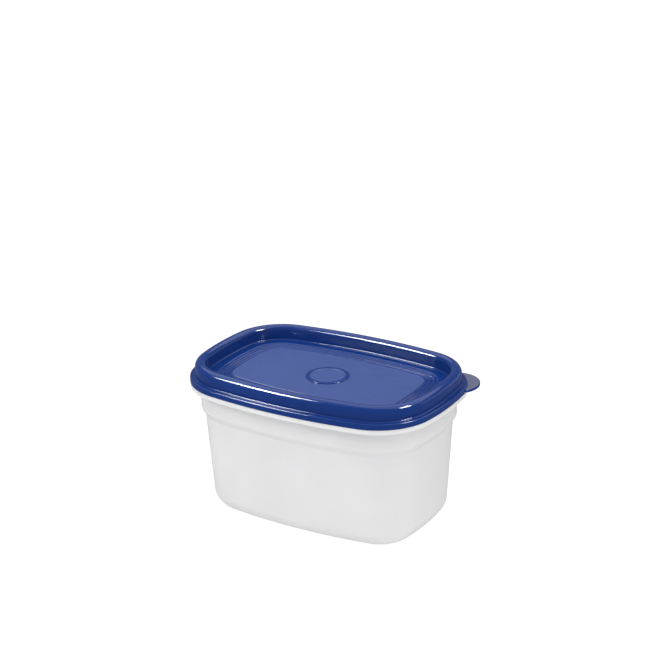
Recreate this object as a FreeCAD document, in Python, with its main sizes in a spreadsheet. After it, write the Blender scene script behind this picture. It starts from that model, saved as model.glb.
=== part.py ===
import FreeCAD, Part
import math
import os
import Sketcher

# Snap-lid food container: a frosted bowl and the blue lid that snaps over its lip.
#
# Frame: millimetres, +Z up, origin on the table under the middle of the bowl, +X along the length.
# Every wall runs parallel to one outline, which is the edge of the lid: eight tangent arcs, two
# slightly bulged long sides, two slightly bulged ends and four corners. "Inset" is how far a face
# lies inside that outline. Both mouldings are cross-sections in inset and height, swept around it.


class Size:
    """A number together with the spreadsheet expression that gives it."""

    def __init__(self, value, text):
        self.value = value
        self.text = text

    def __add__(self, other):
        other = as_size(other)
        return Size(self.value + other.value, f"({self.text} + {other.text})")

    def __sub__(self, other):
        other = as_size(other)
        return Size(self.value - other.value, f"({self.text} - {other.text})")

    def __mul__(self, other):
        other = as_size(other)
        return Size(self.value * other.value, f"({self.text} * {other.text})")

    def __truediv__(self, other):
        other = as_size(other)
        return Size(self.value / other.value, f"({self.text} / {other.text})")


def as_size(item):
    if isinstance(item, Size):
        return item
    return Size(float(item), str(item))


def size(alias, value):
    """Write one driving dimension into the next row of the sheet."""
    row = size.rows + 1
    size.rows = row
    sheet.set(f"A{row}", alias)
    sheet.set(f"B{row}", str(value))
    sheet.setAlias(f"B{row}", alias)
    return Size(float(value), f"Sizes.{alias}")


size.rows = 0

doc = FreeCAD.newDocument("SnapLidContainer")
sheet = doc.addObject("Spreadsheet::Sheet", "Sizes")

# Outline
length = size("length", 150.0)
width = size("width", 102.4)
side_bulge = size("side_bulge", 9.3)
end_bulge = size("end_bulge", 8.7)
corner_radius = size("corner_radius", 33.0)

# Bowl
seat_height = size("seat_height", 75.7)
bowl_wall = size("bowl_wall", 1.3)
floor_thickness = size("floor_thickness", 1.4)
foot_height = size("foot_height", 0.8)
foot_land = size("foot_land", 2.6)
base_rounding = size("base_rounding", 11.8)
shoulder_height = size("shoulder_height", 57.0)
shoulder_inset = size("shoulder_inset", 7.7)
shoulder_rise = size("shoulder_rise", 3.6)
wall_draft = size("wall_draft", 4.1)
collar_inset = size("collar_inset", 5.6)
rim_inset = size("rim_inset", 0.3)
rim_drop = size("rim_drop", 2.8)
rim_wall = size("rim_wall", 1.2)

# Lip of the bowl, inside the lid's ring
lip_height = size("lip_height", 8.8)
lip_bead_inset = size("lip_bead_inset", 4.75)
lip_bead_height = size("lip_bead_height", 1.5)
lip_neck = size("lip_neck", 0.4)
lip_foot_inset = size("lip_foot_inset", 5.45)

# Lid, with heights above the seat
lid_wall = size("lid_wall", 1.15)
skirt_height = size("skirt_height", 3.3)
ring_inset = size("ring_inset", 2.97)
ring_height = size("ring_height", 11.5)
ring_width = size("ring_width", 6.4)
ring_outer_rounding = size("ring_outer_rounding", 3.2)
ring_inner_rounding = size("ring_inner_rounding", 2.9)
recess_depth = size("recess_depth", 8.1)
recess_draft = size("recess_draft", 1.5)
snap_bead_height = size("snap_bead_height", 5.0)
snap_bead_half = size("snap_bead_half", 0.6)
snap_clearance = size("snap_clearance", 0.1)
seal_bead_height = size("seal_bead_height", 4.6)
seal_bead_half = size("seal_bead_half", 1.2)
seal_clearance = size("seal_clearance", 0.25)

# Recess floor: fine ridges around a raised centre panel
ridge_first = size("ridge_first", 15.4)
ridge_pitch = size("ridge_pitch", 2.1)
ridge_rise = size("ridge_rise", 0.4)
ridge_half = size("ridge_half", 0.6)
panel_inset = size("panel_inset", 23.3)
panel_rise = size("panel_rise", 0.35)

# Round boss in the middle of the panel
boss_radius = size("boss_radius", 12.0)
boss_rise = size("boss_rise", 0.55)
dish_radius = size("dish_radius", 9.8)
dish_depth = size("dish_depth", 0.35)

# Pull tab at the corner towards +X and +Y
tab_radius = size("tab_radius", 13.6)
tab_reach = size("tab_reach", 26.65)
tab_turn = size("tab_turn", 36.1)
tab_thickness = size("tab_thickness", 1.6)

# Roundings of edges and inside corners
edge_rounding = size("edge_rounding", 0.7)
fine_rounding = size("fine_rounding", 0.3)
shoulder_rounding = size("shoulder_rounding", 3.0)

# Width by which a plate that closes a floor laps under the swept wall that it joins
PLATE_LAP = 0.5
RIDGES = 4
SHARP = None

doc.recompute()

half_length = length / 2
half_width = width / 2
lip_inner = lip_bead_inset + bowl_wall + lip_neck
side_radius = (half_length * half_length + side_bulge * side_bulge) / (side_bulge * 2)
end_radius = (half_width * half_width + end_bulge * end_bulge) / (end_bulge * 2)


def tangent(angle):
    """The slope of a face that leans by an angle in degrees."""
    return Size(math.tan(math.radians(angle.value)), f"tan({angle.text} * 1 deg)")


def inset(distance):
    """X of a face at an inset, where the cross-section cuts the end of the outline."""
    return half_length - distance


def new_body(name):
    body = doc.addObject("PartDesign::Body", name)
    body.Label = name
    return body


def new_sketch(body, name, role, height=None):
    """A sketch on one of the body's own origin planes, raised by a height if one is given."""
    plane = next(item for item in body.Origin.OriginFeatures if item.Role == role)
    sketch = body.newObject("Sketcher::SketchObject", name)
    sketch.AttachmentSupport = [(plane, "")]
    sketch.MapMode = "FlatFace"
    if height is not None:
        sketch.AttachmentOffset = FreeCAD.Placement(FreeCAD.Vector(0, 0, height.value), FreeCAD.Rotation())
        sketch.setExpression("AttachmentOffset.Base.z", height.text)
    return sketch


def bind(sketch, kind, references, amount):
    """Add a dimension to a sketch and tie it to the sheet."""
    index = sketch.addConstraint(Sketcher.Constraint(kind, *references, amount.value))
    sketch.setExpression(f"Constraints[{index}]", amount.text)


def relate(sketch, kind, *references):
    sketch.addConstraint(Sketcher.Constraint(kind, *references))


def arc(centre, radius, start, end):
    circle = Part.Circle(centre, FreeCAD.Vector(0, 0, 1), radius)
    return Part.ArcOfCircle(circle, start, end)


def draw_section(sketch, corners):
    """Draw a closed cross-section.

    Each corner is (x, height, rounding): two sizes for the sharp corner, and the radius of the
    arc that rounds it, or SHARP. The arc is tangent to both of the lines that meet there.
    """
    count = len(corners)
    places = [FreeCAD.Vector(x.value, z.value, 0) for x, z, rounding in corners]
    entries = []
    exits = []
    centres = []
    for i, (x, z, rounding) in enumerate(corners):
        before = (places[i] - places[i - 1]).normalize()
        after = (places[(i + 1) % count] - places[i]).normalize()
        turn = math.atan2(before.x * after.y - before.y * after.x, before.dot(after))
        radius = rounding.value if rounding else 0.0
        cut = radius * math.tan(abs(turn) / 2)
        side = math.copysign(radius, turn)
        entries.append(places[i] - before * cut)
        exits.append(places[i] + after * cut)
        centres.append(entries[i] + FreeCAD.Vector(-before.y, before.x, 0) * side)

    lines = []
    for i in range(count):
        line = Part.LineSegment(exits[i], entries[(i + 1) % count])
        lines.append(sketch.addGeometry(line, False))

    for i, (x, z, rounding) in enumerate(corners):
        came = lines[i - 1]
        goes = lines[i]
        if not rounding:
            relate(sketch, "Coincident", came, 2, goes, 1)
            bind(sketch, "DistanceX", (goes, 1), x)
            bind(sketch, "DistanceY", (goes, 1), z)
            continue
        to_entry = entries[i] - centres[i]
        to_exit = exits[i] - centres[i]
        turns_left = to_entry.x * to_exit.y - to_entry.y * to_exit.x > 0
        first, last = (to_entry, to_exit) if turns_left else (to_exit, to_entry)
        start = math.atan2(first.y, first.x)
        end = math.atan2(last.y, last.x)
        round_off = sketch.addGeometry(arc(centres[i], rounding.value, start, end), False)
        corner = sketch.addGeometry(Part.Point(places[i]), True)
        relate(sketch, "Tangent", came, 2, round_off, 1 if turns_left else 2)
        relate(sketch, "Tangent", round_off, 2 if turns_left else 1, goes, 1)
        relate(sketch, "PointOnObject", corner, 1, came)
        relate(sketch, "PointOnObject", corner, 1, goes)
        bind(sketch, "Radius", (round_off,), rounding)
        bind(sketch, "DistanceX", (corner, 1), x)
        bind(sketch, "DistanceY", (corner, 1), z)


def corner_centre():
    """Centre of the corner arc towards +X and +Y, which touches a side arc and an end arc."""
    side_centre = FreeCAD.Vector(0, half_width.value - side_radius.value, 0)
    end_centre = FreeCAD.Vector(half_length.value - end_radius.value, 0, 0)
    from_side = side_radius.value - corner_radius.value
    from_end = end_radius.value - corner_radius.value
    across = end_centre - side_centre
    span = across.Length
    along = (from_side**2 - from_end**2 + span**2) / (2 * span)
    off = math.sqrt(from_side**2 - along**2)
    across.normalize()
    return side_centre + across * along + FreeCAD.Vector(across.y, -across.x, 0) * off


def draw_outline(sketch, distance):
    """Draw the outline at an inset, starting where it crosses the +X axis."""
    middle = corner_centre()
    side = side_radius - distance
    end = end_radius - distance
    corner = corner_radius - distance
    side_y = half_width.value - side_radius.value
    end_x = half_length.value - end_radius.value
    from_end = math.atan2(middle.y, middle.x - end_x)
    to_side = math.atan2(middle.y - side_y, middle.x)
    turn = math.pi
    pieces = [
        ("end", (end_x, 0), end, 0, from_end),
        ("corner", (middle.x, middle.y), corner, from_end, to_side),
        ("side", (0, side_y), side, to_side, turn - to_side),
        ("corner", (-middle.x, middle.y), corner, turn - to_side, turn - from_end),
        ("end", (-end_x, 0), end, turn - from_end, turn + from_end),
        ("corner", (-middle.x, -middle.y), corner, turn + from_end, turn + to_side),
        ("side", (0, -side_y), side, turn + to_side, 2 * turn - to_side),
        ("corner", (middle.x, -middle.y), corner, 2 * turn - to_side, 2 * turn - from_end),
        ("end", (end_x, 0), end, 2 * turn - from_end, 2 * turn),
    ]
    arcs = []
    for kind, (x, y), radius, start, stop in pieces:
        arcs.append(sketch.addGeometry(arc(FreeCAD.Vector(x, y, 0), radius.value, start, stop), False))
    for before, after in zip(arcs[:-1], arcs[1:]):
        relate(sketch, "Tangent", before, 2, after, 1)
    first_end, top_side, far_end, low_side, last_end = (arcs[i] for i in (0, 2, 4, 6, 8))
    horizontal_axis = -1
    vertical_axis = -2
    relate(sketch, "PointOnObject", first_end, 3, horizontal_axis)
    relate(sketch, "PointOnObject", first_end, 1, horizontal_axis)
    relate(sketch, "PointOnObject", far_end, 3, horizontal_axis)
    relate(sketch, "PointOnObject", top_side, 3, vertical_axis)
    relate(sketch, "PointOnObject", low_side, 3, vertical_axis)
    relate(sketch, "Coincident", last_end, 3, first_end, 3)
    relate(sketch, "Coincident", last_end, 2, first_end, 1)
    bind(sketch, "DistanceX", (first_end, 3), half_length - end_radius)
    bind(sketch, "DistanceX", (far_end, 3), end_radius - half_length)
    bind(sketch, "DistanceY", (top_side, 3), half_width - side_radius)
    bind(sketch, "DistanceY", (low_side, 3), side_radius - half_width)
    for index, (kind, centre, radius, start, stop) in enumerate(pieces[:-1]):
        bind(sketch, "Radius", (arcs[index],), radius)


def sweep(body, name, corners):
    """Sweep a closed cross-section right round the outline."""
    path = new_sketch(body, name + "_outline", "XY_Plane")
    draw_outline(path, as_size(0))
    section = new_sketch(body, name + "_section", "XZ_Plane")
    draw_section(section, corners)
    doc.recompute()
    pipe = body.newObject("PartDesign::AdditivePipe", name)
    pipe.Profile = section
    pipe.Spine = (path, [])
    pipe.Mode = "Standard"
    doc.recompute()
    return path


def plate(body, name, distance, bottom, thickness):
    """A flat plate inside the outline at an inset."""
    sketch = new_sketch(body, name + "_outline", "XY_Plane", bottom)
    draw_outline(sketch, distance)
    pad = body.newObject("PartDesign::Pad", name)
    pad.Profile = sketch
    pad.setExpression("Length", thickness.text)
    doc.recompute()


# ---- Bowl
def make_bowl():
    body = new_body("container_bowl")
    lean = tangent(wall_draft)
    collar_height = shoulder_height + shoulder_rise
    floor_top = foot_height + floor_thickness
    wall_foot = shoulder_inset + shoulder_height * lean
    inner_foot = wall_foot + bowl_wall - floor_top * lean
    land_end = wall_foot + base_rounding + foot_land
    floor_edge = land_end + foot_height * 2
    rim_bottom = seat_height - rim_drop
    rim_plate = seat_height - rim_wall
    lip_top = seat_height + lip_height
    bead_bottom = lip_top - lip_bead_height
    corners = [
        (inset(floor_edge), foot_height, SHARP),
        (inset(land_end + foot_height), foot_height, fine_rounding),
        (inset(land_end), as_size(0), fine_rounding),
        (inset(wall_foot), as_size(0), base_rounding),
        (inset(shoulder_inset), shoulder_height, edge_rounding),
        (inset(collar_inset), collar_height, shoulder_rounding),
        (inset(collar_inset), rim_plate, fine_rounding),
        (inset(rim_inset + rim_wall), rim_plate, fine_rounding),
        (inset(rim_inset + rim_wall), rim_bottom, fine_rounding),
        (inset(rim_inset), rim_bottom, fine_rounding),
        (inset(rim_inset), seat_height, fine_rounding),
        (inset(lip_foot_inset), seat_height, fine_rounding),
        (inset(lip_bead_inset + lip_neck), bead_bottom - lip_neck, fine_rounding),
        (inset(lip_bead_inset), bead_bottom, fine_rounding),
        (inset(lip_bead_inset), lip_top, edge_rounding),
        (inset(lip_inner), lip_top, edge_rounding),
        (inset(collar_inset + bowl_wall), seat_height, shoulder_rounding),
        (inset(collar_inset + bowl_wall), collar_height - bowl_wall * tangent(wall_draft), edge_rounding),
        (inset(shoulder_inset + bowl_wall), shoulder_height, shoulder_rounding),
        (inset(inner_foot), floor_top, base_rounding - bowl_wall),
        (inset(floor_edge), floor_top, SHARP),
    ]
    sweep(body, "bowl_wall", corners)
    plate(body, "bowl_floor", floor_edge - PLATE_LAP, foot_height, floor_thickness)
    return body


# ---- Lid, modelled above its own seat and then set on the bowl
def add_boss(body, panel_top):
    """The round boss, a raised rim around a shallow dish."""
    sketch = new_sketch(body, "boss_section", "XZ_Plane")
    root = panel_top - lid_wall / 2
    rim_top = panel_top + boss_rise
    dish = rim_top - dish_depth
    corners = [
        (as_size(0), root, SHARP),
        (boss_radius, root, SHARP),
        (boss_radius, rim_top, fine_rounding),
        (dish_radius, rim_top, fine_rounding),
        (dish_radius - dish_depth, dish, fine_rounding),
        (as_size(0), dish, SHARP),
    ]
    draw_section(sketch, corners)
    boss = body.newObject("PartDesign::Revolution", "boss")
    boss.Profile = sketch
    boss.ReferenceAxis = (sketch, ["V_Axis"])
    boss.Angle = 360.0
    doc.recompute()


def add_tab(body, outline):
    """The pull tab: part of a disc that grows out of the skirt around one corner arc."""
    sketch = new_sketch(body, "tab_outline", "XY_Plane")
    sketch.addExternal(outline.Name, "Edge2")
    corner_arc = -3
    middle = corner_centre()
    root = corner_radius - lid_wall / 2
    turn = math.radians(tab_turn.value)
    tip = middle + FreeCAD.Vector(math.cos(turn), math.sin(turn), 0) * tab_reach.value
    squares = tab_reach.value**2 + root.value**2 - tab_radius.value**2
    spread = math.acos(squares / (2 * tab_reach.value * root.value))
    ends = []
    for angle in (turn - spread, turn + spread):
        ends.append(middle + FreeCAD.Vector(math.cos(angle), math.sin(angle), 0) * root.value)
    tab_angles = [math.atan2(end.y - tip.y, end.x - tip.x) for end in ends]
    reach = sketch.addGeometry(Part.LineSegment(middle, tip), True)
    inner = sketch.addGeometry(arc(middle, root.value, turn - spread, turn + spread), False)
    outer = sketch.addGeometry(arc(tip, tab_radius.value, *tab_angles), False)
    relate(sketch, "Coincident", reach, 1, corner_arc, 3)
    relate(sketch, "Coincident", inner, 3, corner_arc, 3)
    relate(sketch, "Coincident", outer, 3, reach, 2)
    relate(sketch, "Coincident", outer, 1, inner, 1)
    relate(sketch, "Coincident", outer, 2, inner, 2)
    bind(sketch, "Distance", (reach,), tab_reach)
    bind(sketch, "Radius", (inner,), root)
    bind(sketch, "Radius", (outer,), tab_radius)
    angle = sketch.addConstraint(Sketcher.Constraint("Angle", reach, turn))
    sketch.setExpression(f"Constraints[{angle}]", tab_turn.text + " * 1 deg")
    pad = body.newObject("PartDesign::Pad", "tab")
    pad.Profile = sketch
    pad.setExpression("Length", tab_thickness.text)
    doc.recompute()


def make_lid():
    body = new_body("snap_lid")
    lean = tangent(recess_draft)
    skirt_inside = skirt_height - lid_wall
    ring_inside = ring_height - lid_wall
    wall_inside = ring_inset + lid_wall
    floor_top = ring_height - recess_depth
    floor_under = floor_top - lid_wall
    plug_top = ring_inset + ring_width
    snap_inset = lip_bead_inset - snap_clearance
    lip_inside = collar_inset + bowl_wall
    lip_lean = (lip_inside - lip_inner) / lip_height
    seal_inset = lip_inside - seal_bead_height * lip_lean + seal_clearance
    panel_top = floor_top + panel_rise
    panel_edge = panel_inset + panel_rise
    panel_lap = panel_edge + 2

    def plug_face(level):
        """X of the plug's face towards the lip, which leans with the wall of the recess."""
        return inset(plug_top - lid_wall + (ring_height - level) * lean)

    corners = [
        (inset(as_size(0)), as_size(0), fine_rounding),
        (inset(as_size(0)), skirt_height, edge_rounding),
        (inset(ring_inset), skirt_height, edge_rounding),
        (inset(ring_inset), ring_height, ring_outer_rounding),
        (inset(plug_top), ring_height, ring_inner_rounding),
        (inset(plug_top + recess_depth * lean), floor_top, edge_rounding),
    ]
    for number in range(RIDGES):
        crest = ridge_first + ridge_pitch * number
        corners += [
            (inset(crest - ridge_half), floor_top, SHARP),
            (inset(crest), floor_top + ridge_rise, fine_rounding),
            (inset(crest + ridge_half), floor_top, SHARP),
        ]
    corners += [
        (inset(panel_inset), floor_top, SHARP),
        (inset(panel_edge), panel_top, fine_rounding),
        (inset(panel_lap), panel_top, SHARP),
        (inset(panel_lap), floor_under, SHARP),
        (plug_face(floor_under), floor_under, edge_rounding),
        (plug_face(seal_bead_height - seal_bead_half), seal_bead_height - seal_bead_half, SHARP),
        (inset(seal_inset), seal_bead_height, fine_rounding),
        (plug_face(seal_bead_height + seal_bead_half), seal_bead_height + seal_bead_half, SHARP),
        (plug_face(ring_inside), ring_inside, ring_inner_rounding - lid_wall),
        (inset(wall_inside), ring_inside, ring_outer_rounding - lid_wall),
        (inset(wall_inside), snap_bead_height + snap_bead_half, SHARP),
        (inset(snap_inset), snap_bead_height, fine_rounding),
        (inset(wall_inside), snap_bead_height - snap_bead_half, SHARP),
        (inset(wall_inside), skirt_inside, fine_rounding),
        (inset(lid_wall), skirt_inside, fine_rounding),
        (inset(lid_wall), as_size(0), fine_rounding),
    ]
    outline = sweep(body, "lid_ring", corners)
    plate(body, "lid_panel", panel_lap - PLATE_LAP, floor_under, lid_wall + panel_rise)
    add_boss(body, panel_top)
    add_tab(body, outline)
    body.setExpression("Placement.Base.z", seat_height.text)
    return body


bodies = [make_bowl(), make_lid()]
doc.recompute()

faults = []
for item in doc.Objects:
    if "Invalid" in item.State or "Error" in item.State:
        faults.append(f"{item.Label}: {item.State}")
for body in bodies:
    if body.Shape.isNull() or not body.Shape.isValid() or len(body.Shape.Solids) != 1:
        faults.append(f"{body.Label}: shape is null, invalid or not one solid")
if faults:
    raise RuntimeError("; ".join(faults))

os.makedirs("parts", exist_ok=True)
for body in bodies:
    body.Shape.exportStep(os.path.join("parts", body.Label + ".step"))
    box = body.Shape.BoundBox
    print(body.Label, round(body.Shape.Volume), "mm3", [round(v, 2) for v in (box.XMin, box.XMax)],
          [round(v, 2) for v in (box.YMin, box.YMax)], [round(v, 2) for v in (box.ZMin, box.ZMax)])
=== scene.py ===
import math

import bpy
from mathutils import Matrix, Vector


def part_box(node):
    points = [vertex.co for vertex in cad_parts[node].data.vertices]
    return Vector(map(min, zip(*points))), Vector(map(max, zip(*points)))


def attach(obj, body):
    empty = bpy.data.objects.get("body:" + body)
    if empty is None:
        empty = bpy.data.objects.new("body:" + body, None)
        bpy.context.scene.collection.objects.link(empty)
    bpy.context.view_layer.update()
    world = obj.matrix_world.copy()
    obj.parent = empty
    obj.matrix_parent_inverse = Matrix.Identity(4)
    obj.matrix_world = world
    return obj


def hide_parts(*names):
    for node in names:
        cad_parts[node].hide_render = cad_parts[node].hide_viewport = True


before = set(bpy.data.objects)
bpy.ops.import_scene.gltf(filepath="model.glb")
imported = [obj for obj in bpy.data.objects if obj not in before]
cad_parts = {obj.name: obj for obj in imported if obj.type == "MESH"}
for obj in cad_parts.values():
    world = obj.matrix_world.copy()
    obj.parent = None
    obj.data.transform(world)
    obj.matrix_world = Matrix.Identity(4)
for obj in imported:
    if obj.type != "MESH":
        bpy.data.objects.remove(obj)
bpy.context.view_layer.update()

# Looks of the food container: two pieces, the frosted bowl and the blue lid, each one closed skin.
# Every ring of a skin runs parallel to the outline of the lid, at an inset and a height, and the
# flat middles close through rings that turn from the outline into a circle.

MM = 0.001

lid_low, lid_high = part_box("snap_lid")
bowl_low, bowl_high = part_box("container_bowl")

# Outline, from the CAD's box: the lid's edge is symmetric but for the tab
HALF_LENGTH = -lid_low.x
HALF_WIDTH = -lid_low.y
SIDE_BULGE = 9.3 * MM
END_BULGE = 8.7 * MM
CORNER_RADIUS = 33.0 * MM

# Heights, from the CAD's box
TABLE = bowl_low.z
SEAT = lid_low.z
CREST = lid_high.z
LIP_TOP = bowl_high.z

# Bowl
BOWL_WALL = 1.3 * MM
FLOOR_THICKNESS = 1.4 * MM
FOOT_HEIGHT = 0.8 * MM
FOOT_LAND = 2.6 * MM
BASE_ROUNDING = 11.8 * MM
SHOULDER_HEIGHT = 57.0 * MM
SHOULDER_INSET = 7.7 * MM
SHOULDER_RISE = 3.6 * MM
WALL_LEAN = math.tan(math.radians(4.1))
COLLAR_INSET = 5.6 * MM
RIM_INSET = 0.3 * MM
RIM_DROP = 2.8 * MM
RIM_WALL = 1.2 * MM
LIP_BEAD_INSET = 4.75 * MM
LIP_BEAD_HEIGHT = 1.5 * MM
LIP_NECK = 0.4 * MM
LIP_FOOT_INSET = 5.45 * MM

# Lid, with heights above the seat
LID_WALL = 1.15 * MM
SKIRT_HEIGHT = 3.3 * MM
RING_INSET = 2.97 * MM
RING_WIDTH = 6.4 * MM
RING_OUTER_ROUNDING = 3.2 * MM
RING_INNER_ROUNDING = 2.9 * MM
RECESS_DEPTH = 8.1 * MM
RECESS_LEAN = math.tan(math.radians(1.5))
SNAP_BEAD_HEIGHT = 5.0 * MM
SNAP_BEAD_HALF = 0.6 * MM
SNAP_CLEARANCE = 0.1 * MM
SEAL_BEAD_HEIGHT = 4.6 * MM
SEAL_BEAD_HALF = 1.2 * MM
SEAL_CLEARANCE = 0.25 * MM
RIDGES = 4
RIDGE_FIRST = 15.4 * MM
RIDGE_PITCH = 2.1 * MM
RIDGE_RISE = 0.4 * MM
RIDGE_HALF = 0.6 * MM
PANEL_INSET = 23.3 * MM
PANEL_RISE = 0.35 * MM
PANEL_LAP = 2.0 * MM
BOSS_RADIUS = 12.0 * MM
BOSS_RISE = 0.55 * MM
BOSS_APRON = 1.5 * MM
BOSS_SHINE = 0.48 * MM
DISH_RADIUS = 9.8 * MM
DISH_DEPTH = 0.35 * MM
TAB_RADIUS = 13.6 * MM
TAB_REACH = 26.65 * MM
TAB_TURN = math.radians(36.1)
TAB_THICKNESS = 1.6 * MM
TAB_FADE = 0.6 * TAB_THICKNESS
TAB_WALL_TOP = 1.1 * TAB_THICKNESS
TAB_ROOT = 1.25 * TAB_THICKNESS
TAB_UNDER_SHARES = (0.0, 0.35, 0.7)
TAB_TOP_SHARES = (0.85, 0.68, 0.5, 0.33, 0.16, 0.04)
GRIP_FROM = 0.8 * MM

# Roundings; an edge that the CAD leaves sharp is eased by a hair, as moulding does.
# The boss's rounding and the easing at its foot have to fit within its rise, or two rings meet.
EDGE = 0.7 * MM
FINE = 0.3 * MM
EASED = 0.1 * MM
BOSS_ROUNDING = 0.36 * MM
DISH_ROUNDING = 0.24 * MM
SHOULDER_ROUNDING = 3.0 * MM

# How finely the skins are drawn: points along each run of the outline, then steps of each rounding
END_POINTS = 20
SIDE_POINTS = 44
CORNER_POINTS = 48
TAB_POINTS = 60
BEFORE_TAB_POINTS = 8
AFTER_TAB_POINTS = 20
LARGE_ROUNDING = 1.0 * MM
LARGE_STEP = 7
SMALL_STEP = 15
HOLD_SHARE = 0.35
HOLD_MOST = 0.4 * MM
QUARTER_STEPS = 4
CLOSING_STEPS = 5
MIDDLE_SHARES = (0.8, 0.6, 0.4, 0.2, 0.07)


# ---- Outline: the place and the outward direction of each point round the lid's edge
def spread(start, stop, count):
    """Count values from start up to but not including stop."""
    return [start + (stop - start) * i / count for i in range(count)]


def corner_centre():
    """Centre of the corner arc towards +X and +Y, which touches a side arc and an end arc."""
    side_y = HALF_WIDTH - SIDE_RADIUS
    end_x = HALF_LENGTH - END_RADIUS
    from_side = SIDE_RADIUS - CORNER_RADIUS
    from_end = END_RADIUS - CORNER_RADIUS
    across = Vector((end_x, -side_y))
    span = across.length
    along = (from_side**2 - from_end**2 + span**2) / (2 * span)
    off = math.sqrt(from_side**2 - along**2)
    across.normalize()
    return Vector((0, side_y)) + across * along + Vector((across.y, -across.x)) * off


SIDE_RADIUS = (HALF_LENGTH**2 + SIDE_BULGE**2) / (2 * SIDE_BULGE)
END_RADIUS = (HALF_WIDTH**2 + END_BULGE**2) / (2 * END_BULGE)
CORNER = corner_centre()
FROM_END = math.atan2(CORNER.y, CORNER.x - HALF_LENGTH + END_RADIUS)
TO_SIDE = math.atan2(CORNER.y - HALF_WIDTH + SIDE_RADIUS, CORNER.x)
TAB_HALF = math.acos((TAB_REACH**2 + CORNER_RADIUS**2 - TAB_RADIUS**2)
                     / (2 * TAB_REACH * CORNER_RADIUS))


def outline():
    """Points round the edge, with extra ones where the tab grows out of the first corner."""
    half = math.pi
    whole = 2 * math.pi
    side = (0, HALF_WIDTH - SIDE_RADIUS, SIDE_RADIUS)
    end = (HALF_LENGTH - END_RADIUS, 0, END_RADIUS)
    corner = (CORNER.x, CORNER.y, CORNER_RADIUS)
    tab_start = TAB_TURN - TAB_HALF
    tab_stop = TAB_TURN + TAB_HALF
    tabbed = spread(FROM_END, tab_start, BEFORE_TAB_POINTS)
    tabbed += spread(tab_start, tab_stop, TAB_POINTS)
    tabbed += spread(tab_stop, TO_SIDE, AFTER_TAB_POINTS)
    runs = [
        (end, (1, 1), spread(0, FROM_END, END_POINTS // 2)),
        (corner, (1, 1), tabbed),
        (side, (1, 1), spread(TO_SIDE, half - TO_SIDE, SIDE_POINTS)),
        (corner, (-1, 1), spread(half - TO_SIDE, half - FROM_END, CORNER_POINTS)),
        (end, (-1, 1), spread(half - FROM_END, half + FROM_END, END_POINTS)),
        (corner, (-1, -1), spread(half + FROM_END, half + TO_SIDE, CORNER_POINTS)),
        (side, (1, -1), spread(half + TO_SIDE, whole - TO_SIDE, SIDE_POINTS)),
        (corner, (1, -1), spread(whole - TO_SIDE, whole - FROM_END, CORNER_POINTS)),
        (end, (1, 1), spread(whole - FROM_END, whole, END_POINTS // 2)),
    ]
    places = []
    for (x, y, radius), (sign_x, sign_y), angles in runs:
        for angle in angles:
            away = Vector((math.cos(angle), math.sin(angle)))
            places.append((Vector((x * sign_x, y * sign_y)) + away * radius, away, angle))
    return places


OUTLINE = outline()


def tab_growth(angle):
    """How far the tab stands out of the corner in this direction from the corner's centre."""
    off = angle - TAB_TURN
    if abs(off) >= TAB_HALF:
        return 0.0
    reach = TAB_REACH * math.cos(off)
    beyond = math.sqrt(TAB_RADIUS**2 - (TAB_REACH * math.sin(off)) ** 2)
    return max(0.0, reach + beyond - CORNER_RADIUS)


GROWTH = [tab_growth(angle) for place, away, angle in OUTLINE]


# ---- Rings of points, and skins made of them
def ring(inset, height):
    """A ring parallel to the outline."""
    return [(p.x - a.x * inset, p.y - a.y * inset, height) for p, a, angle in OUTLINE]


def circle(radius, height):
    """A circle with a point for each point of the outline."""
    points = []
    for p, a, angle in OUTLINE:
        away = (p - a * PANEL_INSET).normalized()
        points.append((away.x * radius, away.y * radius, height))
    return points


def between(first, second, share):
    """The ring that lies a share of the way from one ring to another."""
    return [tuple(a + (b - a) * share for a, b in zip(p, q)) for p, q in zip(first, second)]


def closing(edge, radius):
    """Rings that turn an edge into a circle, the edge itself left out."""
    goal = circle(radius, edge[0][2])
    return [between(edge, goal, (i + 1) / CLOSING_STEPS) for i in range(CLOSING_STEPS)]


def middle(radius, height):
    """Rings that carry a flat disc from a radius in to its centre."""
    return [circle(radius * share, height) for share in MIDDLE_SHARES]


def eased_section(corners):
    """Points of a section whose corners are (inset, height, rounding), its two ends left as given.

    Each rounding is a true arc with a point held close on both sides, so the flats stay flat.
    """
    points = [Vector(corners[0][:2])]
    for i in range(1, len(corners) - 1):
        here = Vector(corners[i][:2])
        before = (here - Vector(corners[i - 1][:2])).normalized()
        after = (Vector(corners[i + 1][:2]) - here).normalized()
        radius = corners[i][2]
        turn = math.atan2(before.x * after.y - before.y * after.x, before.dot(after))
        cut = radius * math.tan(abs(turn) / 2)
        hold = min(HOLD_SHARE * radius, HOLD_MOST)
        room = min((here - points[-1]).length, (Vector(corners[i + 1][:2]) - here).length)
        entry = here - before * cut
        centre = entry + Vector((-before.y, before.x)) * math.copysign(radius, turn)
        step_size = LARGE_STEP if radius > LARGE_ROUNDING else SMALL_STEP
        steps = max(2, round(abs(math.degrees(turn)) / step_size))
        if room > 2 * (cut + hold):
            points.append(entry - before * hold)
        arm = entry - centre
        for step in range(steps + 1):
            angle = turn * step / steps
            spun = Vector((arm.x * math.cos(angle) - arm.y * math.sin(angle),
                           arm.x * math.sin(angle) + arm.y * math.cos(angle)))
            points.append(centre + spun)
        if room > 2 * (cut + hold):
            points.append(here + after * (cut + hold))
    points.append(Vector(corners[-1][:2]))
    return points


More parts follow.
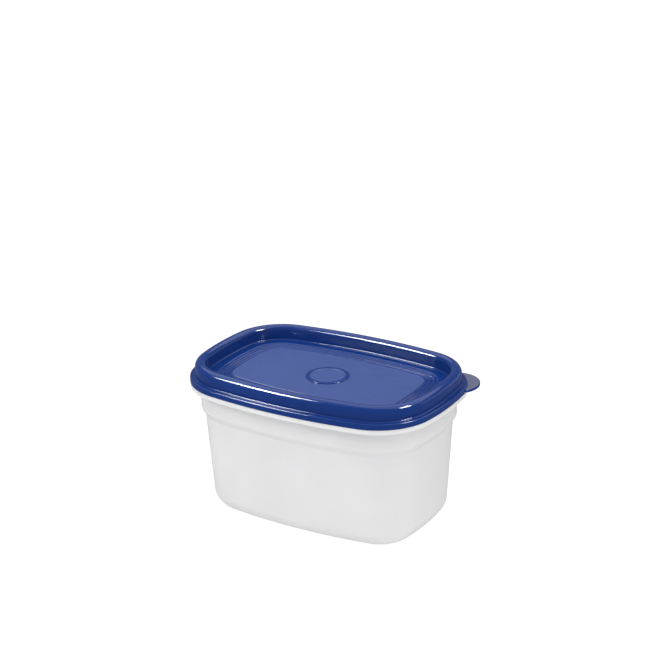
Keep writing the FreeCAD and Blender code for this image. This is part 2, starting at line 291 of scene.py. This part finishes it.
def skin(name, rings, materials, paint):
    """A closed skin through the rings, from the first one's middle to the last one's."""
    count = len(OUTLINE)
    points = [point for one in rings for point in one]
    faces = []
    marks = []
    for row in range(len(rings) - 1):
        for i in range(count):
            j = (i + 1) % count
            this, following = row * count, (row + 1) * count
            faces.append((this + i, this + j, following + j, following + i))
            marks.append(paint(row, i))
    for row, flip in ((0, True), (len(rings) - 1, False)):
        centre = len(points)
        points.append((0.0, 0.0, rings[row][0][2]))
        for i in range(count):
            a = row * count + i
            b = row * count + (i + 1) % count
            faces.append((centre, b, a) if flip else (centre, a, b))
            marks.append(paint(row, i))
    mesh = bpy.data.meshes.new(name)
    mesh.from_pydata(points, [], faces)
    for material in materials:
        mesh.materials.append(material)
    for face, mark in zip(mesh.polygons, marks):
        face.material_index = mark
        face.use_smooth = True
    mesh.validate()
    mesh.update()
    piece = bpy.data.objects.new(name, mesh)
    bpy.context.scene.collection.objects.link(piece)
    return piece


# ---- Bowl
def bowl_rings():
    """From the middle of the underside, out and up the outside, over the lip and down inside."""
    collar_height = SHOULDER_HEIGHT + SHOULDER_RISE
    floor_top = FOOT_HEIGHT + FLOOR_THICKNESS
    wall_foot = SHOULDER_INSET + SHOULDER_HEIGHT * WALL_LEAN
    inner_foot = wall_foot + BOWL_WALL - floor_top * WALL_LEAN
    land_end = wall_foot + BASE_ROUNDING + FOOT_LAND
    floor_edge = land_end + FOOT_HEIGHT * 2
    rim_bottom = SEAT - RIM_DROP
    rim_plate = SEAT - RIM_WALL
    bead_bottom = LIP_TOP - LIP_BEAD_HEIGHT
    lip_inner = LIP_BEAD_INSET + BOWL_WALL + LIP_NECK
    corners = [
        (floor_edge, FOOT_HEIGHT, 0),
        (land_end + FOOT_HEIGHT, FOOT_HEIGHT, FINE),
        (land_end, TABLE, FINE),
        (wall_foot, TABLE, BASE_ROUNDING),
        (SHOULDER_INSET, SHOULDER_HEIGHT, EDGE),
        (COLLAR_INSET, collar_height, SHOULDER_ROUNDING),
        (COLLAR_INSET, rim_plate, FINE),
        (RIM_INSET + RIM_WALL, rim_plate, FINE),
        (RIM_INSET + RIM_WALL, rim_bottom, FINE),
        (RIM_INSET, rim_bottom, FINE),
        (RIM_INSET, SEAT, FINE),
        (LIP_FOOT_INSET, SEAT, FINE),
        (LIP_BEAD_INSET + LIP_NECK, bead_bottom - LIP_NECK, FINE),
        (LIP_BEAD_INSET, bead_bottom, FINE),
        (LIP_BEAD_INSET, LIP_TOP, EDGE),
        (lip_inner, LIP_TOP, EDGE),
        (COLLAR_INSET + BOWL_WALL, SEAT, SHOULDER_ROUNDING),
        (COLLAR_INSET + BOWL_WALL, collar_height - BOWL_WALL * WALL_LEAN, EDGE),
        (SHOULDER_INSET + BOWL_WALL, SHOULDER_HEIGHT, SHOULDER_ROUNDING),
        (inner_foot, floor_top, BASE_ROUNDING - BOWL_WALL),
        (floor_edge, floor_top, 0),
    ]
    wall = [ring(p.x, p.y) for p in eased_section(corners)]
    under = closing(wall[0], BOSS_RADIUS) + middle(BOSS_RADIUS, FOOT_HEIGHT)
    inside = closing(wall[-1], BOSS_RADIUS) + middle(BOSS_RADIUS, floor_top)
    return under[::-1] + wall + inside


# ---- Lid
def tab_rings():
    """The lower part of the skirt, which the tab grows out of, and the label of each ring."""
    quarter = [math.pi / 2 * step / QUARTER_STEPS for step in range(QUARTER_STEPS + 1)]
    # Each ring of the tab is (share of its reach, how much rounding draws it in, height)
    profile = [(share, 1.0, 0.0) for share in TAB_UNDER_SHARES]
    profile += [(1.0, 1 - math.sin(a), FINE * (1 - math.cos(a))) for a in quarter]
    profile += [(1.0, 1 - math.cos(a), TAB_THICKNESS - FINE * (1 - math.sin(a))) for a in quarter]
    profile += [(share, 1.0, TAB_THICKNESS) for share in TAB_TOP_SHARES]
    under = len(TAB_UNDER_SHARES)
    rows = []
    for index, (share, drawn_in, height) in enumerate(profile):
        if index < under:
            # Away from the tab these rings follow the rounded bottom edge of the skirt
            turn = math.pi / 2 * index / under
            lean = FINE * (1 - math.sin(turn))
            plain = FINE * (1 - math.cos(turn))
        else:
            lean = 0.0
            plain = FINE + (TAB_WALL_TOP - FINE) * (index - under) / (len(profile) - 1 - under)
        row = []
        for (place, away, angle), growth in zip(OUTLINE, GROWTH):
            weight = min(1.0, growth / TAB_FADE)
            weight = weight * weight * (3 - 2 * weight)
            out = (growth - min(FINE, growth) * drawn_in) * share - lean * (1 - weight)
            rise = plain + (height - plain) * weight
            row.append((place.x + away.x * out, place.y + away.y * out, SEAT + rise))
        rows.append(row)
    flats = len(TAB_TOP_SHARES)
    labels = ["edge"] * (len(rows) - flats - 1) + ["grip"] * flats + ["edge"]
    return rows, labels


def lid_rings():
    """From the middle of the underside, out to the skirt, over the ring and in to the boss's middle."""
    crest = CREST - SEAT
    floor_top = crest - RECESS_DEPTH
    floor_under = floor_top - LID_WALL
    ring_inside = crest - LID_WALL
    skirt_inside = SKIRT_HEIGHT - LID_WALL
    plug_top = RING_INSET + RING_WIDTH
    wall_inside = RING_INSET + LID_WALL
    lip_height = LIP_TOP - SEAT
    lip_inner = LIP_BEAD_INSET + BOWL_WALL + LIP_NECK
    lip_inside = COLLAR_INSET + BOWL_WALL
    lip_lean = (lip_inside - lip_inner) / lip_height
    seal_inset = lip_inside - SEAL_BEAD_HEIGHT * lip_lean + SEAL_CLEARANCE
    seal_top = SEAL_BEAD_HEIGHT + SEAL_BEAD_HALF
    seal_bottom = SEAL_BEAD_HEIGHT - SEAL_BEAD_HALF
    panel_top = floor_top + PANEL_RISE
    panel_edge = PANEL_INSET + PANEL_RISE
    panel_lap = panel_edge + PANEL_LAP
    rim_top = panel_top + BOSS_RISE
    dish = rim_top - DISH_DEPTH

    def plug_face(level):
        """Inset of the plug wall's outer face at a height."""
        return plug_top - LID_WALL + (crest - level) * RECESS_LEAN

    disc = [
        (0.0, dish, 0),
        (DISH_RADIUS - DISH_DEPTH, dish, DISH_ROUNDING),
        (DISH_RADIUS, rim_top, DISH_ROUNDING),
        (BOSS_RADIUS, rim_top, BOSS_ROUNDING),
        (BOSS_RADIUS, panel_top, EASED),
        (BOSS_RADIUS + BOSS_APRON, panel_top, 0),
    ]
    boss = [circle(p.x, SEAT + p.y) for p in eased_section(disc)[1:]]

    upper = [
        (panel_lap, panel_top, 0),
        (panel_edge, panel_top, FINE),
        (PANEL_INSET, floor_top, EASED),
    ]
    for number in reversed(range(RIDGES)):
        centre = RIDGE_FIRST + RIDGE_PITCH * number
        upper += [
            (centre + RIDGE_HALF, floor_top, EASED),
            (centre, floor_top + RIDGE_RISE, FINE),
            (centre - RIDGE_HALF, floor_top, EASED),
        ]
    upper += [
        (plug_top + RECESS_DEPTH * RECESS_LEAN, floor_top, EDGE),
        (plug_top, crest, RING_INNER_ROUNDING),
        (RING_INSET, crest, RING_OUTER_ROUNDING),
        (RING_INSET, SKIRT_HEIGHT, EDGE),
        (0.0, SKIRT_HEIGHT, EDGE),
        (0.0, TAB_ROOT, 0),
    ]
    lower = [
        (FINE, 0.0, 0),
        (LID_WALL, 0.0, FINE),
        (LID_WALL, skirt_inside, FINE),
        (wall_inside, skirt_inside, FINE),
        (wall_inside, SNAP_BEAD_HEIGHT - SNAP_BEAD_HALF, EASED),
        (LIP_BEAD_INSET - SNAP_CLEARANCE, SNAP_BEAD_HEIGHT, FINE),
        (wall_inside, SNAP_BEAD_HEIGHT + SNAP_BEAD_HALF, EASED),
        (wall_inside, ring_inside, RING_OUTER_ROUNDING - LID_WALL),
        (plug_face(ring_inside), ring_inside, RING_INNER_ROUNDING - LID_WALL),
        (plug_face(seal_top), seal_top, EASED),
        (seal_inset, SEAL_BEAD_HEIGHT, FINE),
        (plug_face(seal_bottom), seal_bottom, EASED),
        (plug_face(floor_under), floor_under, EDGE),
        (panel_lap, floor_under, 0),
    ]
    top_section = eased_section(upper)
    top = [ring(p.x, SEAT + p.y) for p in top_section]
    top_labels = ["panel" if p.x > PANEL_INSET else "edge" for p in top_section]
    bottom = [ring(p.x, SEAT + p.y) for p in eased_section(lower)[1:]]
    under = closing(bottom[-1], BOSS_RADIUS) + middle(BOSS_RADIUS, SEAT + floor_under)
    skirt, skirt_labels = tab_rings()
    disc_rings = boss[::-1] + middle(DISH_RADIUS - DISH_DEPTH, SEAT + dish)
    panel = closing(top[0], BOSS_RADIUS + BOSS_APRON)[:-1]
    underneath = (bottom + under)[::-1]
    rings = underneath + skirt + top[::-1] + panel + disc_rings
    labels = ["edge"] * len(underneath) + skirt_labels + top_labels[::-1]
    labels += ["panel"] * len(panel)
    for one in disc_rings:
        radius = math.hypot(one[0][0], one[0][1])
        labels.append("edge" if abs(radius - BOSS_RADIUS) < BOSS_SHINE else "panel")
    return rings, labels


# ---- Materials, all procedural and in the object's own coordinates
PLASTIC_IOR = 1.49
DRIFT_SCALE = 22.0
PATCH_SCALE = 160.0
NOISE_LOW = 0.3
NOISE_HIGH = 0.7
SINK_STRENGTH = 0.25
SINK_DEPTH = 0.4 * MM
DOT_TOP = 0.15
DOT_FOOT = 0.38


def node(tree, kind, inputs=None, **settings):
    """A node with its settings, its inputs linked where a socket is given and set otherwise."""
    made = tree.nodes.new(kind)
    for name, value in settings.items():
        setattr(made, name, value)
    for name, value in (inputs or {}).items():
        if isinstance(value, bpy.types.NodeSocket):
            tree.links.new(value, made.inputs[name])
        else:
            made.inputs[name].default_value = value
    return made


def plastic(name, dark, light, gloss_range, grain, extra=None, grip=None):
    """Moulded plastic: colour and gloss drift slowly, and a fine grain breaks up the surface.

    The grain and the grip's dots are each (spacing, height).
    """
    made = bpy.data.materials.new(name)
    made.use_nodes = True
    tree = made.node_tree
    shader = tree.nodes["Principled BSDF"]
    shader.inputs["IOR"].default_value = PLASTIC_IOR
    for socket, value in (extra or {}).items():
        shader.inputs[socket].default_value = value
    place = node(tree, "ShaderNodeTexCoord").outputs["Object"]
    drift = node(tree, "ShaderNodeTexNoise", {"Vector": place, "Scale": DRIFT_SCALE, "Detail": 3.0})
    patch = node(tree, "ShaderNodeTexNoise", {"Vector": place, "Scale": PATCH_SCALE, "Detail": 4.0})
    fine = node(tree, "ShaderNodeTexNoise", {"Vector": place, "Scale": 1.0 / grain[0], "Detail": 2.0})

    colour = node(tree, "ShaderNodeValToRGB", {"Fac": drift.outputs["Fac"]})
    ends = colour.color_ramp.elements
    for end, position, tint in zip(ends, (NOISE_LOW, NOISE_HIGH), (dark, light)):
        end.position = position
        end.color = (*tint, 1.0)
    tree.links.new(colour.outputs["Color"], shader.inputs["Base Color"])

    gloss = node(tree, "ShaderNodeMapRange", {
        "Value": patch.outputs["Fac"],
        "From Min": NOISE_LOW,
        "From Max": NOISE_HIGH,
        "To Min": gloss_range[0],
        "To Max": gloss_range[1],
    })
    tree.links.new(gloss.outputs["Result"], shader.inputs["Roughness"])

    sink = node(tree, "ShaderNodeBump", {
        "Height": drift.outputs["Fac"],
        "Strength": SINK_STRENGTH,
        "Distance": SINK_DEPTH,
    })
    relief = node(tree, "ShaderNodeBump", {
        "Height": fine.outputs["Fac"],
        "Strength": 1.0,
        "Distance": grain[1],
        "Normal": sink.outputs["Normal"],
    })
    if grip:
        dots = node(
            tree, "ShaderNodeTexVoronoi", {"Vector": place, "Scale": 1.0 / grip[0], "Randomness": 0.0},
            voronoi_dimensions="2D",
        )
        domes = node(tree, "ShaderNodeMapRange", {
            "Value": dots.outputs["Distance"],
            "From Min": DOT_TOP,
            "From Max": DOT_FOOT,
            "To Min": 1.0,
            "To Max": 0.0,
        }, interpolation_type="SMOOTHSTEP")
        relief = node(tree, "ShaderNodeBump", {
            "Height": domes.outputs["Result"],
            "Strength": 1.0,
            "Distance": grip[1],
            "Normal": relief.outputs["Normal"],
        })
    tree.links.new(relief.outputs["Normal"], shader.inputs["Normal"])
    return made


frosted = plastic(
    "frosted_bowl_plastic", (0.745, 0.745, 0.755), (0.785, 0.785, 0.795),
    gloss_range=(0.36, 0.46), grain=(0.35 * MM, 0.01 * MM),
    extra={
        "Subsurface Weight": 0.35,
        "Subsurface Radius": (1.0, 1.0, 1.0),
        "Subsurface Scale": 2 * MM,
    },
)
gloss_blue = plastic(
    "blue_gloss_plastic", (0.004, 0.028, 0.168), (0.006, 0.036, 0.200),
    gloss_range=(0.06, 0.10), grain=(0.8 * MM, 0.001 * MM),
)
matte_blue = plastic(
    "blue_matte_plastic", (0.016, 0.049, 0.215), (0.020, 0.057, 0.240),
    gloss_range=(0.44, 0.54), grain=(0.25 * MM, 0.02 * MM),
)
# The grip's base colour: its blue is the plastic's own, and the pale grey mixed into it is painted
# sheen of the textured top; the dots are bumps.
grip_blue_painted_sheen = plastic(
    "blue_grip_plastic_painted_sheen", (0.095, 0.110, 0.180), (0.105, 0.120, 0.200),
    gloss_range=(0.50, 0.60), grain=(0.25 * MM, 0.02 * MM), grip=(1.3 * MM, 0.12 * MM),
)
LID_SLOTS = {"edge": 0, "panel": 1, "grip": 2}

# ---- The two pieces
bowl = skin("bowl_skin", bowl_rings(), [frosted], lambda row, i: 0)
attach(bowl, "bowl")
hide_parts("container_bowl")

lid_skin_rings, lid_labels = lid_rings()


def lid_paint(row, i):
    """Which of the lid's materials a face takes; the grip is on the tab alone."""
    label = lid_labels[row]
    if label == "grip" and GROWTH[i] <= GRIP_FROM:
        label = "edge"
    return LID_SLOTS[label]


lid = skin("lid_skin", lid_skin_rings, [gloss_blue, matte_blue, grip_blue_painted_sheen], lid_paint)
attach(lid, "lid")
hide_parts("snap_lid")


# ---- Floor, backdrop, lights and camera
FLOOR_HALF = 4.0
FLOOR_SQUARES = 8
FLOOR_DROP = 0.02 * MM
FLOOR_GREY = 0.20
FLOOR_GLOW = 0.88
BACKDROP_RADIUS = 2.7
BACKDROP_TOP = 4.0
BACKDROP_DROP = 0.05 * MM
BACKDROP_SIDES = 64
ROOM_GLOW = 0.20
LID_MIDDLE = Vector((0.0, 0.0, SEAT))
WHITE = (1.0, 1.0, 1.0, 1.0)


def paper(name, points, faces, grey, glow):
    """A sheet of paper for the stage, glowing by the amount given. Gloss doesn't show it."""
    mesh = bpy.data.meshes.new(name)
    mesh.from_pydata(points, [], faces)
    made = bpy.data.materials.new(name + "_paper")
    made.use_nodes = True
    shader = made.node_tree.nodes["Principled BSDF"]
    shader.inputs["Base Color"].default_value = (grey, grey, grey, 1.0)
    shader.inputs["Roughness"].default_value = 0.9
    shader.inputs["Specular IOR Level"].default_value = 0.0
    shader.inputs["Emission Color"].default_value = WHITE
    shader.inputs["Emission Strength"].default_value = glow
    mesh.materials.append(made)
    sheet = bpy.data.objects.new(name, mesh)
    sheet.visible_glossy = False
    bpy.context.scene.collection.objects.link(sheet)
    return sheet


def floor():
    """A flat floor in squares."""
    across = FLOOR_SQUARES + 1
    steps = [FLOOR_HALF * (2 * i / FLOOR_SQUARES - 1) for i in range(across)]
    points = [(x, y, TABLE - FLOOR_DROP) for y in steps for x in steps]
    faces = []
    for j in range(FLOOR_SQUARES):
        for i in range(FLOOR_SQUARES):
            corner = j * across + i
            faces.append((corner, corner + 1, corner + across + 1, corner + across))
    plane = paper("floor", points, faces, FLOOR_GREY, FLOOR_GLOW)


def backdrop():
    """A wall round the floor that the camera sees and that lights nothing."""
    count = BACKDROP_SIDES
    points = []
    for z in (TABLE - BACKDROP_DROP, BACKDROP_TOP):
        for i in range(count):
            angle = 2 * math.pi * i / count
            points.append((BACKDROP_RADIUS * math.cos(angle), BACKDROP_RADIUS * math.sin(angle), z))
    faces = [(i, (i + 1) % count, count + (i + 1) % count, count + i) for i in range(count)]
    wall = paper("backdrop", points, faces, 0.0, 1.0)
    wall.visible_diffuse = False
    wall.visible_shadow = False


def softbox(name, place, size_x, size_y, power, shine=True, fill=True):
    """A softbox aimed at the lid. With shine, gloss shows it; with fill, it lights the colours."""
    data = bpy.data.lights.new(name, "AREA")
    data.shape = "RECTANGLE"
    data.size = size_x
    data.size_y = size_y
    data.energy = power
    aim = (LID_MIDDLE - Vector(place)).to_track_quat("-Z", "Y").to_matrix().to_4x4()
    lamp = bpy.data.objects.new(name, data)
    lamp.matrix_world = Matrix.Translation(place) @ aim
    lamp.visible_glossy = shine
    lamp.visible_diffuse = fill
    bpy.context.scene.collection.objects.link(lamp)


floor()
backdrop()
room = bpy.data.worlds.new("room")
room.use_nodes = True
room.node_tree.nodes["Background"].inputs["Color"].default_value = WHITE
room.node_tree.nodes["Background"].inputs["Strength"].default_value = ROOM_GLOW
bpy.context.scene.world = room
softbox("overhead", (0.0, 0.0, 2.2), 5.0, 5.0, 125.0, shine=False)
softbox("overhead_shine", (0.0, 0.75, 2.2), 5.0, 3.2, 55.0, fill=False)
softbox("left_fill", (-1.2, -1.0, 0.9), 1.0, 1.0, 9.0, shine=False)
softbox("right_fill", (1.5, -0.6, 0.7), 1.0, 1.0, 6.0, shine=False)
softbox("front_left_shine", (-0.69, -0.67, 0.86), 0.42, 0.40, 24.0, fill=False)
softbox("front_right_shine", (0.95, 0.06, 0.96), 0.44, 0.34, 18.0, fill=False)
softbox("back_right_card", (0.52, 0.66, 0.14), 0.80, 0.24, 0.30, fill=False)

CAMERA_AZIMUTH = math.radians(31.47)
CAMERA_ELEVATION = math.radians(21.03)
CAMERA_ROLL = math.radians(-1.15)
CAMERA_DISTANCE = 1.1085
AIM_ACROSS = 0.00255
AIM_ABOVE = 0.09655
LENS = 106.0
SENSOR_WIDTH = 36.0

across = Vector((math.cos(CAMERA_AZIMUTH), math.sin(CAMERA_AZIMUTH), 0))
flat = math.cos(CAMERA_ELEVATION)
back = Vector((
    math.sin(CAMERA_AZIMUTH) * flat,
    -math.cos(CAMERA_AZIMUTH) * flat,
    math.sin(CAMERA_ELEVATION),
))
above = back.cross(across)
right = across * math.cos(CAMERA_ROLL) + above * math.sin(CAMERA_ROLL)
up = above * math.cos(CAMERA_ROLL) - across * math.sin(CAMERA_ROLL)
eye = back * CAMERA_DISTANCE + right * AIM_ACROSS + up * AIM_ABOVE
camera_data = bpy.data.cameras.new("camera")
camera_data.lens = LENS
camera_data.sensor_width = SENSOR_WIDTH
camera = bpy.data.objects.new("camera", camera_data)
camera.matrix_world = Matrix.Translation(eye) @ Matrix((right, up, back)).transposed().to_4x4()
bpy.context.scene.collection.objects.link(camera)
bpy.context.scene.camera = camera
bpy.context.scene.view_settings.view_transform = "Standard"
